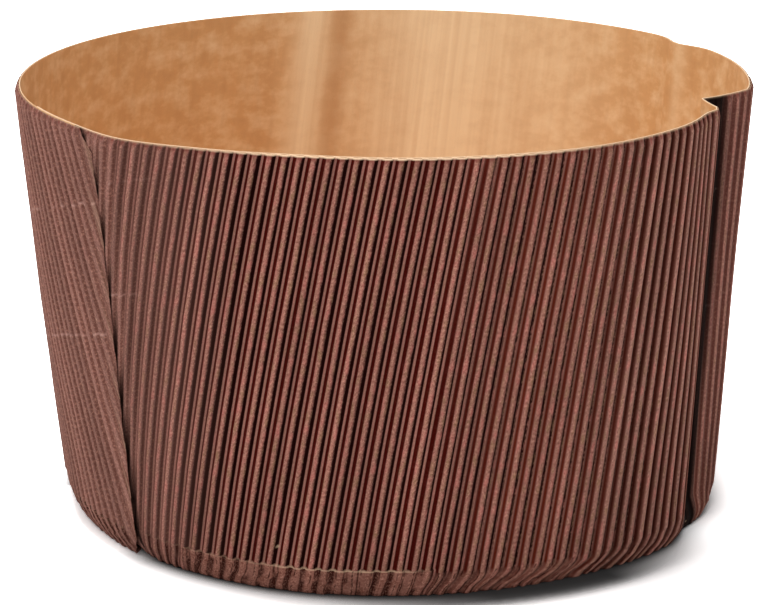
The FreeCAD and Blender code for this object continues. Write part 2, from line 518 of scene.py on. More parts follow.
class Shader:
    """A new material, or a new world, and the nodes in it."""

    def __init__(self, name: str, kind: Any = None) -> None:
        """Start an empty material of that name, or whatever else of that kind holds nodes."""
        self.owner = (bpy.data.materials if kind is None else kind).new(name)
        self.owner.use_nodes = True
        self.tree = self.owner.node_tree
        self.tree.nodes.clear()

    def node(self, kind: str, settings: dict[str, Any] | None = None,
             sockets: dict[int | str, Any] | None = None, output: int | str = 0) -> Value:
        """Add a node.

        Args:
            kind: The node's type, without its ShaderNode prefix.
            settings: The node's own settings, and for a ramp its stops.
            sockets: Values or links of its input sockets, by name or place.
            output: The output to go on from.

        Returns:
            That output.
        """
        node = self.tree.nodes.new("ShaderNode" + kind)
        for key, value in (settings or {}).items():
            if key == "stops":
                elements = node.color_ramp.elements
                for place, colour in value[2:]:
                    elements.new(place).color = colour
                for element, (place, colour) in zip(elements, sorted(value, key=lambda stop: stop[0])):
                    element.position, element.color = place, colour
            else:
                setattr(node, key, value)
        for key, value in (sockets or {}).items():
            if isinstance(value, Value):
                self.tree.links.new(value.source, node.inputs[key])
            else:
                node.inputs[key].default_value = value
        return Value(self, node.outputs[output])

    def ramp(self, value: Value, *stops: tuple[float, float | Colour]) -> Value:
        """Run a number from 0 to 1 through a ramp, whose stops are places with a colour or a brightness."""
        full = [(place, c if isinstance(c, tuple) else (c, c, c, 1.0)) for place, c in stops]
        return self.node("ValToRGB", {"stops": full}, {"Fac": value})

    def bands(self, value: Value, *bands: tuple[Any, ...]) -> Value:
        """Run a number through a ramp of bands, each a colour and the one or two places it lies between."""
        return self.ramp(value, *((place, colour) for colour, *places in bands for place in places))

    def stripes(self, value: Value, strength: float, core: float, edge: float) -> Value:
        """A stripe at every whole number: full up to its core, and gone at its edge."""
        first = ((0.0, strength), (core, strength), (edge, 0.0))
        second = [(1.0 - place, level) for place, level in reversed(first)]
        return self.ramp(value.fraction(), *first, *second)

    def mix(self, share: Any, first: Any, second: Any, blend: str = "MIX") -> Value:
        """Mix two colours, either of which may be plain, with that share of the second."""
        settings = {"data_type": "RGBA", "blend_type": blend, "clamp_factor": True}
        return self.node("Mix", settings, {0: share, 6: first, 7: second}, output=2)

    def coats(self, colour: Any, *coats: tuple[Any, Any]) -> Any:
        """Lay coats over a colour, one after another, each a share and what it is mixed with there."""
        for share, coat in coats:
            colour = self.mix(share, colour, coat)
        return colour

    def mapped(self, source: Value, across: float, down: float) -> Value:
        """Stretch coordinates by a scale each way."""
        return self.node("Mapping", {}, {"Vector": source, "Scale": (across, down, 1.0)})

    def noise(self, source: Value, scale: float, detail: float = 2.0, roughness: float = 0.5) -> Value:
        """Cloudy noise, from 0 to 1."""
        return self.node(
            "TexNoise", {}, {"Vector": source, "Scale": scale, "Detail": detail, "Roughness": roughness})

    def cloud(self, strip: Value, across: float, down: float, detail: float = 2.0,
              roughness: float = 0.5) -> Value:
        """Cloudy noise on the strip, with a scale of its own each way."""
        return self.noise(self.mapped(strip, across, down), 1.0, detail, roughness)

    def strip(self) -> Value:
        """Coordinates that count pitches along the strip and down it."""
        return self.node("UVMap", {"uv_map": "UVMap"})

    def place(self) -> Value:
        """Coordinates of the piece itself, in metres."""
        return self.node("TexCoord", {}, output="Object")

    def axes(self, source: Value) -> list[Value]:
        """The first two numbers of a set of coordinates."""
        return [self.node("SeparateXYZ", {}, {"Vector": source}, output=axis) for axis in ("X", "Y")]

    def red(self, colour: Value) -> Value:
        """The red of a colour, which for a grey is its brightness."""
        return self.node("SeparateColor", {}, {"Color": colour}, output="Red")

    def grey(self, brightness: Any) -> Value:
        """The grey of that brightness."""
        return self.node("CombineColor", {}, {0: brightness, 1: brightness, 2: brightness})

    def attribute(self, name: str) -> Value:
        """A value that the mesh carries at its points."""
        return self.node("Attribute", {"attribute_name": name}, output="Fac")

    def surface(self, colour: Any, roughness: Any, height: Value, depth: float,
                gloss: float = 0.1) -> bpy.types.Material:
        """Finish the material as paper.

        Args:
            colour: Its colour.
            roughness: Its roughness.
            height: Relief of its surface, from 0 to 1.
            depth: Depth of that relief, in metres.
            gloss: Strength of its highlights.

        Returns:
            The material.
        """
        relief = self.node("Bump", {}, {"Strength": 1.0, "Distance": depth, "Height": height})
        shader = self.node("BsdfPrincipled", {}, {
            "Base Color": colour, "Roughness": roughness, "Normal": relief, "Specular IOR Level": gloss})
        return self.finished(shader)

    def finished(self, shader: Value, kind: str = "Material") -> Any:
        """Send a shader to the surface of the material, or of the other kind that holds the nodes."""
        output = self.tree.nodes.new("ShaderNodeOutput" + kind)
        self.tree.links.new(shader.source, output.inputs["Surface"])
        return self.owner


@dataclass(frozen=True)
class FlutedPaper:
    """Finish of the corrugated ply: dyed kraft paper, its flutes' sides near black with painted shade."""

    crest: Colour = srgb(166, 112, 98)
    crest_pale: Colour = srgb(204, 148, 128)
    crest_deep: Colour = srgb(112, 62, 50)
    crest_pink: Colour = srgb(188, 110, 102)
    crest_olive: Colour = srgb(142, 108, 80)
    # Painted shade: the falling right of each crest, and the sides and gaps of the flutes, in front, turned
    # aside, turned away and softer at the left.
    shoulder_shade: Colour = srgb(112, 70, 62)
    left_side_shade: Colour = srgb(66, 8, 3)
    shaded_side: Colour = srgb(24, 2, 1)
    valley: Colour = srgb(164, 112, 100)
    turned_crest: Colour = srgb(156, 105, 92)
    turned_valley: Colour = srgb(136, 90, 78)
    turned_side_shade: Colour = srgb(94, 34, 22)
    far_gap_shade: Colour = srgb(54, 18, 10)
    far_side_shade: Colour = srgb(100, 58, 48)
    far_crest: Colour = srgb(158, 114, 102)
    soft_crest: Colour = srgb(146, 104, 94)
    soft_side_shade: Colour = srgb(122, 80, 70)
    soft_valley: Colour = srgb(130, 90, 80)
    crushed: Colour = srgb(160, 110, 96)
    crushed_deep: Colour = srgb(124, 76, 63)
    # Painted shade in the open valleys and crease lines of the crushed hem.
    wrinkle: Colour = srgb(52, 16, 10)
    below_rim: Colour = srgb(108, 44, 36)
    # Painted highlight on the fine creases across the flutes.
    fuzz: Colour = srgb(244, 196, 182)
    # Colour of cut paper and lint, also used for the painted highlights on the rim and along the crease.
    raw_and_highlight: Colour = srgb(255, 218, 180)
    roughness: float = 0.82
    relief: float = 0.00006
    crease_relief: float = 3.0
    gloss: float = 0.03
    uneven_flutes: float = 0.28
    uneven_patches: float = 0.4
    least_hue: float = 0.25
    fibres_crushed: float = 0.45
    fibres_soft: float = 0.7
    folds_soft: float = 0.6
    first_fold: float = 54.0
    fold_slant: float = 0.26
    folds_per_pitch: float = 0.109
    fold_sway: float = 0.09

    def build(self) -> bpy.types.Material:
        """Make the material."""
        shader = Shader("fluted_paper")
        strip = shader.strip()
        across, down = shader.axes(strip)
        plain, contrast = shader.attribute("plain"), shader.attribute("contrast")
        on_crest = shader.ramp(
            across.fraction(), (0.0, 0.4), (0.04, 0.4), (0.10, 0.0), (0.27, 0.05), (0.34, 1.0), (0.5, 1.0),
            (0.65, 0.3), (0.7, 0.0), (0.88, 0.0), (0.95, 0.4), (1.0, 0.4))
        fibres = shader.cloud(strip, 8.0, 5.0, 4.0, 0.7)
        hues = shader.cloud(strip, 2.1, 0.8)
        blotches = shader.cloud(strip, 1.1, 1.4, 3.0, 0.6)
        pressed = shader.mix(shader.ramp(blotches, (0.3, 0.0), (0.7, 1.0)), self.crushed_deep, self.crushed)
        # Crease lines of crushed paper, used for painted shade and for relief.
        creases = self.creases(shader, strip, across) * shader.ramp(plain, (0.02, 0.0), (0.1, 1.0))
        dyed = on_crest * (contrast * (1.0 - self.least_hue) + self.least_hue)
        free = on_crest.at_least(plain * self.fibres_crushed).at_least(self.fibres_soft - contrast)
        colour = shader.coats(
            self.flute_colour_and_shade(shader, across.fraction(), contrast),
            (dyed * shader.ramp(hues, (0.52, 0.0), (0.68, 0.75)), self.crest_pink),
            (dyed * shader.ramp(hues, (0.32, 0.75), (0.47, 0.0)), self.crest_olive),
            (plain, pressed),
            # Painted shade in the open valleys and crease lines of the crushed hem.
            (shader.attribute("wrinkle").at_least(creases), self.wrinkle),
            (free * shader.ramp(fibres, (0.49, 0.0), (0.66, 0.85)), self.crest_pale),
            (free * shader.ramp(fibres, (0.33, 0.8), (0.46, 0.0)), self.crest_deep),
            (on_crest * shader.ramp(down, (0.12, 0.85), (0.5, 0.0)), self.below_rim))
        tone = shader.grey(self.tone(shader, strip, across, down))
        colour = shader.coats(
            shader.mix(1.0, colour, tone, "MULTIPLY"),
            (self.lint(shader, strip, down), self.raw_and_highlight),
            # Painted highlights on fine creases, fainter where the flutes' painted shade is strong.
            (self.folds(shader, strip, across, down) * (self.folds_soft - contrast), self.fuzz),
            # Pale cut rim and frayed edge, with painted highlights on the rim and along the crease.
            (shader.attribute("worn"), self.raw_and_highlight))
        relief = shader.cloud(strip, 9.0, 6.0, 3.0, 0.7) * 0.5 + fibres * 0.5 - creases * self.crease_relief
        return shader.surface(colour, self.roughness, relief, self.relief, self.gloss)

    def flute_colour_and_shade(self, shader: Shader, phase: Value, contrast: Value) -> Value:
        """Colour across a flute, with painted shade on its sides: in front, turned aside, turned away, and
        softer at the left.
        """
        turned = shader.attribute("turned")
        deep = shader.bands(
            phase, (self.valley, 0.0, 0.04), (self.left_side_shade, 0.10, 0.26), (self.crest, 0.33, 0.46),
            (self.shoulder_shade, 0.58), (self.shaded_side, 0.66, 0.88), (self.valley, 0.945, 1.0))
        aside = shader.bands(
            phase, (self.shaded_side, 0.0), (self.turned_valley, 0.035, 0.10),
            (self.turned_side_shade, 0.155, 0.23), (self.turned_crest, 0.31, 0.46), (self.shoulder_shade, 0.60),
            (self.shaded_side, 0.67, 1.0))
        away = shader.bands(
            phase, (self.shaded_side, 0.0, 0.05), (self.far_gap_shade, 0.10, 0.18), (self.far_side_shade, 0.25),
            (self.far_crest, 0.38, 0.66), (self.shaded_side, 0.73, 1.0))
        soft = shader.bands(
            phase, (self.soft_valley, 0.0, 0.08), (self.soft_side_shade, 0.16, 0.26),
            (self.soft_crest, 0.36, 0.66), (self.soft_side_shade, 0.76, 0.86), (self.soft_valley, 0.93, 1.0))
        colour = shader.coats(deep, (shader.ramp(turned, (0.0, 0.0), (0.5, 1.0)), aside),
                              (shader.ramp(turned, (0.5, 0.0), (1.0, 1.0)), away))
        return shader.mix(contrast, soft, colour)

    def tone(self, shader: Shader, strip: Value, across: Value, down: Value) -> Value:
        """How bright the paper is, from flute to flute and in patches, with painted shade down the wall and
        where the groove and the lap shade it, and a painted highlight on the groove's nose.
        """
        own = shader.node(
            "TexWhiteNoise", {"noise_dimensions": "1D"}, {"W": across.whole()}, output="Value")
        patches = shader.cloud(strip, 0.13, 0.09)
        # Painted shade: the wall grows darker towards its bottom.
        low = shader.ramp(down * 0.03, (0.6, 0.0), (0.95, 0.08))
        bright = (own - 0.5) * self.uneven_flutes + (patches - 0.5) * self.uneven_patches + 1.0 - low
        return bright * (1.0 - shader.attribute("gloom"))

    def creases(self, shader: Shader, strip: Value, across: Value) -> Value:
        """Thin broken wrinkles that run down crushed paper, one or two to a flute, drawn as painted shade
        and as relief.
        """
        sway = shader.cloud(strip, 0.9, 0.35, 3.0, 0.6)
        breaks = shader.cloud(strip, 1.3, 1.5)
        first = shader.stripes(across + sway * 0.4, 1.0, 0.035, 0.1)
        second = shader.stripes(across * 1.7 + sway * 0.5, 0.9, 0.02, 0.09)
        return (first * shader.ramp(breaks, (0.34, 0.0), (0.46, 0.9))).at_least(
            second * shader.ramp(breaks, (0.46, 1.0), (0.58, 0.0)))

    def folds(self, shader: Shader, strip: Value, across: Value, down: Value) -> Value:
        """Faint fine creases across the flutes, one below another, drawn as painted highlights."""
        sway = shader.cloud(strip, 0.35, 0.2, 3.0, 0.6)
        breaks = shader.ramp(shader.cloud(strip, 0.9, 0.05), (0.46, 0.0), (0.56, 1.0))
        place = (down + across * self.fold_slant - self.first_fold) * self.folds_per_pitch
        thin = shader.stripes(place + (sway - 0.5) * self.fold_sway, 1.0, 0.0, 0.016)
        return thin * breaks * shader.ramp(down * 0.04, (0.7, 0.55), (0.9, 0.0))

    def lint(self, shader: Shader, strip: Value, down: Value) -> Value:
        """A few pale specks of fluff, and more of them low down."""
        cells = {"Vector": shader.mapped(strip, 0.4, 0.4), "Scale": 1.0, "Randomness": 1.0}
        distance = shader.node("TexVoronoi", {}, cells, output="Distance")
        chosen = shader.red(shader.node("TexVoronoi", {}, cells, output="Color"))
        low = shader.ramp(down * 0.03, (0.9, 0.0), (0.94, 0.08))
        speck = shader.ramp(distance, (0.03, 0.55), (0.07, 0.0))
        return speck * shader.ramp(chosen + low, (0.93, 0.0), (0.95, 1.0))


@dataclass(frozen=True)
class CutEdge:
    """Finish of a paper's cut edges, unfinished and a little furry: pale where its mark says so, which on
    the fluted ply includes painted highlights.
    """

    name: str
    mark: str
    colour: Colour
    pale: Colour
    dark: Colour
    roughness: float = 0.9
    relief: float = 0.00005
    grain: float = 900.0

    def build(self) -> bpy.types.Material:
        """Make the material."""
        shader = Shader(self.name)
        fuzz = shader.noise(shader.place(), self.grain, 3.0, 0.6)
        colour = shader.coats(self.colour, (shader.ramp(fuzz, (0.35, 1.0), (0.6, 0.0)), self.dark),
                              (shader.attribute(self.mark), self.pale))
        return shader.surface(colour, self.roughness, fuzz, self.relief)


@dataclass(frozen=True)
class KraftLiner:
    """Finish of the liner: smooth natural kraft, streaked along the flutes behind it, with a painted
    highlight across the back of the inside.
    """

    base: Colour = srgb(220, 168, 112)
    pale: Colour = srgb(255, 224, 178)
    deep: Colour = srgb(194, 142, 92)
    rim: Colour = srgb(242, 206, 168)
    roughness: float = 0.62
    relief: float = 0.00003
    gloss: float = 0.3
    pale_unmottled: float = 0.7
    rib_strength: float = 0.27

    def build(self) -> bpy.types.Material:
        """Make the material."""
        shader = Shader("kraft_liner")
        strip = shader.strip()
        clouds = shader.cloud(strip, 0.45, 0.6, 4.0, 0.6)
        pale = shader.attribute("pale")
        ribs = shader.ramp(shader.cloud(strip, 1.3, 0.03), (0.35, 1.0), (0.6, 0.0))
        colour = shader.coats(
            self.base,
            (shader.ramp(shader.cloud(strip, 0.35, 0.05, 3.0, 0.55), (0.45, 0.0), (0.78, 0.35)), self.deep),
            (shader.ramp(clouds, (0.46, 0.0), (0.72, 0.5)), self.pale),
            (shader.ramp(shader.cloud(strip, 1.6, 0.25), (0.3, 0.2), (0.5, 0.0)), self.deep),
            # Pale stripes, the broad one a painted highlight on the back of the inside.
            (pale, self.pale),
            (shader.ramp(clouds, (0.26, 0.4), (0.5, 0.0)) * (1.0 - pale * self.pale_unmottled), self.deep),
            (pale * ribs * self.rib_strength, self.deep),
            (shader.attribute("dark"), self.deep),
            (shader.attribute("rim"), self.rim))
        grain = shader.cloud(strip, 8.0, 4.0, 3.0, 0.6)
        return shader.surface(colour, self.roughness, grain, self.relief, self.gloss)


@dataclass(frozen=True)
class KraftCard:
    """Finish of the base disc: matt natural card with a felt-like mottle."""

    base: Colour = srgb(205, 156, 108)
    pale: Colour = srgb(224, 182, 136)
    deep: Colour = srgb(168, 120, 76)
    roughness: float = 0.8
    relief: float = 0.00005
    cloud_grain: float = 90.0
    felt_grain: float = 1400.0

    def build(self) -> bpy.types.Material:
        """Make the material."""
        shader = Shader("kraft_card")
        place = shader.place()
        clouds = shader.noise(place, self.cloud_grain, 4.0, 0.6)
        felt = shader.noise(shader.mapped(place, 1.0, 0.25), self.felt_grain, 3.0, 0.7)
        colour = shader.coats(self.base, (shader.ramp(clouds, (0.35, 0.0), (0.7, 0.8)), self.pale),
                              (shader.ramp(felt, (0.32, 0.7), (0.5, 0.0)), self.deep))
        return shader.surface(colour, self.roughness, felt, self.relief)


# ---- Pieces ----
@dataclass
class Ply:
    """One of the two plies of the strip: a sheet that is cut in the flat, wound and made thick.

    Its hem cut is given by how far it starts before the ply's end and below the rim, and by its slant.
    """

    strip: Strip
    lines: list[float]
    thickness: float
    below_rim: tuple[float, ...]
    hem_depths: tuple[float, ...]
    recess: float
    corners: Table
    hem_cut: tuple[float, float, float]

    def place(self, flute: float, row: int) -> Vector:
        """Where a point of the ply goes, in millimetres."""
        raise NotImplementedError

    def marks(self) -> Marks:
        """What the ply's finish reads."""
        raise NotImplementedError

    def make(self, name: str, stations: list[float]) -> bpy.types.Object:
        """Make the ply.

        Args:
            name: Name of the piece.
            stations: Places in a pitch at which the sheet has a column.

        Returns:
            The piece, wound into its place.
        """
        depths = [self.strip.depth_at(self.strip.height - below) for below in self.below_rim]
        self.sheet = Sheet(self.strip, self.lines, depths + list(self.hem_depths), stations)
        piece = self.sheet.blank(name)
        end = self.strip.end - self.recess
        back, down, way = self.hem_cut
        self.sheet.cut(piece, (self.strip.start, 0.0), (-1.0, 0.0))
        self.sheet.cut(piece, (end, 0.0), (1.0, -self.strip.end_slant))
        for corner_across, corner_down in self.corners:
            self.sheet.cut(piece, (end, corner_down), (corner_down, -corner_across))
        self.sheet.cut(piece, (end - back, down), (1.0, way))
        self.sheet.wind(piece, self.place, self.marks())
        applied(piece, "SOLIDIFY", thickness=self.thickness * MM, offset=-1.0, use_even_offset=False,
                use_quality_normals=True, material_offset_rim=1)
        return piece

    def finish(self, piece: bpy.types.Object, *finishes: Any) -> None:
        """Give the ply the finish of its faces and that of its cut edges."""
        for finish in finishes:
            piece.data.materials.append(finish.build())
        piece.data.shade_smooth()


@dataclass
class FlutedPly(Ply):
    """The corrugated outer ply, with every flute as a real fold of thin paper."""

    seed: int = 11
    thickness: float = 0.16
    valley: float = 0.22
    rim_cut_back: float = 0.06
    skew: float = 0.055
    uneven_height: float = 0.11
    uneven_place: float = 0.05
    wobble: Unevenness = Unevenness(0.06, 3.1, 1.0 / 11.0, 0.0)
    profile: Table = (
        (-0.11, 0.0), (0.09, 0.0), (0.17, 0.28), (0.235, 0.66), (0.30, 0.90), (0.42, 1.0), (0.60, 1.0),
        (0.70, 0.88), (0.755, 0.60), (0.81, 0.22), (0.89, 0.0))
    below_rim: tuple[float, ...] = (0.0, 0.24, 0.5, 1.5, 12.0, 23.0, 34.0, 45.0, 56.0, 67.0, 77.5, 83.9)
    # How low and how blunt the flutes are in the first rows, how much of that each angle keeps, and how
    # low they are folded in along the groove.
    pinch: Table = ((0.55, 0.35), (0.62, 0.45), (0.72, 0.6))
    rim_pinch: Table = ((215.0, 0.4), (240.0, 0.9), (285.0, 1.0), (310.0, 0.6))
    folded: Table = ((333.6, 1.0), (335.0, 0.3), (341.0, 0.3), (346.0, 1.0))
    # The hem: its rows, from and to which angles it is crushed, how much and from which depth, and how.
    hem_depths: tuple[float, ...] = (1.0, 1.04, 1.22, 1.42, 1.52, 1.64, 1.76, 1.88, 2.0, 2.14, 2.5, 3.0)
    crushed: tuple[tuple[float, float, float, float], ...] = (
        (233.0, 277.0, 1.0, 1.0), (276.0, 304.0, 0.62, 1.12), (304.0, 332.0, 0.36, 1.2),
        (35.0, 85.0, 0.9, 1.0), (112.0, 143.0, 0.9, 1.0), (180.0, 221.0, 0.5, 1.0),
        (224.0, 232.0, 0.5, 1.0), (346.0, 358.0, 0.8, 1.2))
    crushed_edge: float = 2.5
    crushed_step: float = 0.08
    crushed_level: float = 0.72
    crushed_unevenly: float = 0.08
    crushed_power: float = 0.35
    loose_from: float = 0.3
    filling: Unevenness = Unevenness(0.7, 1.7, 2.6, 3.0)
    filling_range: Span = (0.45, 0.85)
    filled_height: Span = (0.4, 0.92)
    foot_depths: Span = (1.6, 2.0)
    foot_filled: float = 0.8
    wander: Unevenness = Unevenness(0.13, 0.9, 1.3, 5.0)
    crumple: Unevenness = Unevenness(0.35, 2.3, 5.0, 2.0)
    plain_from: float = 0.2
    wrinkle_shade_rise: float = 0.4
    # The lap: its corners, its free edge, and what it presses on.
    recess: float = 0.0
    corners: Table = ((3.7, 5.8), (1.1, 15.0))
    hem_cut: tuple[float, float, float] = (0.5, 86.5, 0.6)
    under: Span = (222.3, 226.0)
    pressed: float = 0.58
    pressed_edge: Span = (2.6, 0.4)
    ragged: Unevenness = Unevenness(0.09, 4.0, 1.3, 7.0)
    ragged_edge: Span = (1.2, 0.1)
    # Marks for the finish, by angle, by line of the strip or by distance.
    # Painted shade down the flutes' sides, by angle: full at the front, none on the outer layer of the lap.
    flute_shade_by_angle: Table = (
        (0.0, 0.6), (170.0, 0.6), (190.0, 0.0), (222.0, 0.0), (224.0, 0.4), (232.0, 0.55), (238.0, 0.85),
        (244.0, 1.0), (330.0, 1.0), (342.0, 0.5), (356.0, 0.5), (360.0, 0.6))
    flute_shade_drift: float = 5.0
    # Where the flutes' painted shade changes to the pattern of flutes turned aside, then turned away.
    turned_by_angle: Table = (
        (278.0, 0.0), (291.0, 0.5), (297.0, 0.5), (312.0, 1.0), (336.0, 1.0), (345.0, 0.0))
    # Painted shade by line of the strip: a black slit in the groove, fainter beside it, and below 0 a
    # painted highlight on its nose. Past the groove the line shifts with depth, and the gap past the lap's
    # free edge gets painted shadow over the widths below.
    gloom_by_line: Table = (
        (332.4, 0.0), (333.2, -0.45), (334.4, -0.45), (335.2, 0.5), (341.0, 0.7), (342.5, 0.96),
        (345.2, 0.96), (345.8, 0.55), (346.5, 0.06), (350.0, 0.1), (372.0, 0.1), (390.0, 0.0))
    gloom_shift: Table = ((0.0, 0.9), (0.25, 0.65), (0.6, 0.8), (1.0, 2.2))
    gloom_past_edge: Table = ((-4.0, 0.0), (-3.0, 0.9), (0.0, 0.9), (0.5, 0.6), (1.0, 0.0))
    gap_widths: Table = (
        (0.0, 1.5), (5.0, 0.9), (14.0, 0.7), (20.0, 0.35), (62.0, 0.35), (76.0, 0.8), (84.0, 0.45),
        (89.0, 0.1))
    # The pale cut rim by angle, with a painted highlight strongest at the front, and how much of it reaches
    # the next row.
    rim_wear_and_highlight: Table = (
        (0.0, 0.3), (180.0, 0.2), (232.0, 0.3), (256.0, 1.0), (288.0, 1.0), (303.0, 0.5), (335.0, 0.25),
        (360.0, 0.3))
    wear_and_highlight_below: float = 0.8
    # A painted highlight along the crease: the rows it takes, how strong it is, and where it starts and
    # stops.
    crease_rows: float = 0.01
    crease_highlight: Span = (0.12, 0.42)
    crease_highlight_starts: Span = (246.0, 256.0)
    crease_highlight_stops: Span = (270.0, 279.0)
    worn_edge: float = 0.2
    worn_edge_width: float = 0.35
    worn_specks: Unevenness = Unevenness(1.0, 7.3, 1.0, 9.0)
    worn_specks_range: Span = (-0.1, 0.35)

    def build(self) -> bpy.types.Object:
        """Draw each flute's own unevenness and make the ply."""
        chance = random.Random(self.seed)
        count = len(self.lines)
        self.gain = [1.0 + self.uneven_height * chance.uniform(-1.0, 1.0) for _ in range(count)]
        self.shift = [self.uneven_place * chance.uniform(-1.0, 1.0) for _ in range(count)]
        self.press = [chance.random() for _ in range(count)]
        self.fill = [chance.random() for _ in range(count)]
        return self.make("fluted_ply", [station for station, _ in self.profile[:-1]])

    def marks(self) -> Marks:
        """What the finish of the fluted ply reads."""
        return {"worn": self.worn, "plain": self.plain, "wrinkle": self.wrinkle, "contrast": self.contrast,
                "turned": self.turned, "gloom": self.gloom}

    def rise(self, phase: float) -> float:
        """How far up its flute a point is, from 0 in the valley to 1 on the crest."""
        return looked_up(self.profile, phase if phase <= self.profile[-1][0] else phase - 1.0)

    def flattened(self, angle: float, depth: float) -> float:
        """How much the hem's flutes are crushed flat, from 0 to 1."""
        if depth < 1.0 - self.sheet.close:
            return 0.0
        turn, edge = angle % 360.0, self.crushed_edge
        here = max(
            most * ramp(turn, start - edge, start + edge) * (1.0 - ramp(turn, stop - edge, stop + edge))
            * ramp(depth, top - self.crushed_step, top) for start, stop, most, top in self.crushed)
        return here * (1.0 - 0.5 * ramp(depth, 2.0, 3.0))

    def filled(self, flute: float, depth: float) -> float:
        """How far the valley nearest to a point of the crushed hem is filled up, from 0 to 1."""
        nearest = round(flute)
        return ramp(self.fill[nearest] + self.filling.at(nearest, depth), *self.filling_range)

    def near_edge(self, angle: float, row: float, edge: Span) -> float:
        """Rise from 0 to 1 from one distance before the lap's free edge to a nearer one."""
        free_edge = self.free_edge(row)
        return ramp(angle, free_edge - edge[0], free_edge - edge[1])

    def crest(self, flute: float, row: int, angle: float) -> float:
        """How high the crest of a flute stands off the glue surface where it isn't crushed."""
        under_lap = 1.0 - ramp(angle, *self.under) if angle < FRONT else 0.0
        pressed = max(under_lap, self.near_edge(angle, row, self.pressed_edge))
        own = self.strip.level(self.sheet.depths[row]).crest * self.gain[int(flute)]
        return own * (1.0 - self.pressed * pressed) * looked_up(self.folded, self.sheet.line(flute))

    def place(self, flute: float, row: int) -> Vector:
        """Where a point of the ply goes.

        Args:
            flute: Its place along the strip, in pitches.
            row: Its row.

        Returns:
            The point in millimetres.
        """
        k = int(flute)
        phase = flute - k
        depth = self.sheet.depths[row]
        z = self.strip.level(depth).z
        start, end = self.sheet.glue[row][k], self.sheet.glue[row][k + 1]
        angle = self.sheet.angle(flute, row)
        flat = self.flattened(angle, depth)
        rise, crest, valley = self.rise(phase), self.crest(flute, row, angle), self.valley
        if row < len(self.pinch):
            height, power = self.pinch[row]
            crest *= height * between(looked_up(self.rim_pinch, angle % 360.0), 1.0, row / len(self.pinch))
            rise = rise ** power
        if flat > 0.0:
            dent = self.crushed_unevenly * (self.press[k] - 0.5)
            crest = between(crest, (self.crushed_level + dent) * crest, flat)
            full = self.filled_height[1] * crest
            valley = between(valley, between(*self.filled_height, self.filled(flute, depth)) * crest, flat)
            valley = between(valley, full, self.foot_filled * flat * ramp(depth, *self.foot_depths))
            rise = rise ** between(1.0, self.crushed_power, flat)
        height = between(valley, max(crest, valley), rise)
        loose = ramp(flat, 0.0, self.loose_from)
        side = (self.shift[k] + self.wobble.at(k, z) + self.skew) * rise
        side += loose * self.wander.at(flute, depth)
        height *= 1.0 + loose * self.crumple.at(k, depth)
        point = start + (end - start) * (phase + side) + self.sheet.normal(flute, row) * height
        if row == 0:
            point.z -= self.rim_cut_back
        else:
            point += (end - start) * self.near_edge(angle, row, self.ragged_edge) * self.ragged.at(flute, z)
        point.z = max(point.z, 0.0)
        return point

    def worn(self, flute: float, row: float) -> float:
        """How pale a point is, from 0 to 1: cut paper at the rim with a painted highlight strongest at the
        front, a painted highlight along the crease, and frayed fibres at the lap's free edge.
        """
        if row < 2.0:
            most = looked_up(self.rim_wear_and_highlight, self.sheet.angle(flute, 0) % 360.0)
            below = self.wear_and_highlight_below * most * most
            return between(most, below, row) if row < 1.0 else between(below, 0.0, row - 1.0)
        crease = len(self.below_rim)
        angle = self.sheet.angle(flute, row)
        if abs(row - crease) < self.crease_rows:
            started = ramp(angle % 360.0, *self.crease_highlight_starts)
            going = 1.0 - ramp(angle % 360.0, *self.crease_highlight_stops)
            return between(*self.crease_highlight, started) * going * self.flattened(angle, 1.0)
        edge = self.near_edge(angle, row, (self.worn_edge_width, 0.0))
        return self.worn_edge * edge * ramp(self.worn_specks.at(row, 1.0), *self.worn_specks_range)

    def plain(self, flute: float, row: float) -> float:
        """How much of a point's colour is that of crushed paper."""
        flat = self.flattened(self.sheet.angle(flute, row), self.sheet.depth_of(row))
        return ramp(flat, self.plain_from, 1.0)

    def wrinkle(self, flute: float, row: float) -> float:
        """How much painted shade lies in an open valley of the crushed hem at a point."""
        flat = self.plain(flute, row)
        if flat <= 0.0:
            return 0.0
        low = max(0.0, 1.0 - self.rise(flute - int(flute)) / self.wrinkle_shade_rise)
        return flat * (1.0 - self.filled(flute, self.sheet.depth_of(row))) * low

    def contrast(self, flute: float, row: float) -> float:
        """How much painted shade darkens the sides of the flutes at a point, from 0 to 1."""
        angle = self.sheet.angle(flute, row) % 360.0
        if angle < FRONT:
            angle -= self.flute_shade_drift * max(0.0, 1.0 - self.sheet.depth_of(row))
        return looked_up(self.flute_shade_by_angle, angle)

    def turned(self, flute: float, row: float) -> float:
        """How far the painted shade at a point follows flutes that turn their shaded sides away, from 0 to
        1.
        """
        return looked_up(self.turned_by_angle, self.sheet.angle(flute, row) % 360.0)

    def free_edge(self, row: float) -> float:
        """The angle at which the outer layer is cut off at a row."""
        run = self.sheet.run_of(row)
        corner = max(0.0, *(across * (1.0 - run / down) for across, down in self.corners))
        return self.strip.end + self.strip.end_slant * run - corner

    def gloom(self, flute: float, row: float) -> float:
        """How much painted shade the groove or the lap lays on a point, from 0 to 1; below 0 it is a
        painted highlight on the groove's nose.
        """
        line = self.sheet.line(flute)
        if line > self.strip.groove_line:
            line += looked_up(self.gloom_shift, self.sheet.depth_of(row))
        past = self.sheet.angle(flute, row) + 360.0 - self.free_edge(row)
        width = looked_up(self.gap_widths, self.sheet.run_of(row))
        return looked_up(self.gloom_by_line, line) + looked_up(self.gloom_past_edge, past / width)

    def dress(self, piece: bpy.types.Object) -> None:
        """Give the ply its two finishes and its place on the part."""
        edge = CutEdge("cut_fluted_paper", "worn", srgb(92, 50, 40), FlutedPaper.raw_and_highlight, srgb(50, 22, 16))
        self.finish(piece, FlutedPaper(), edge)
        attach(piece, "root")
        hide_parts(Part.FLUTED_PLY.value)


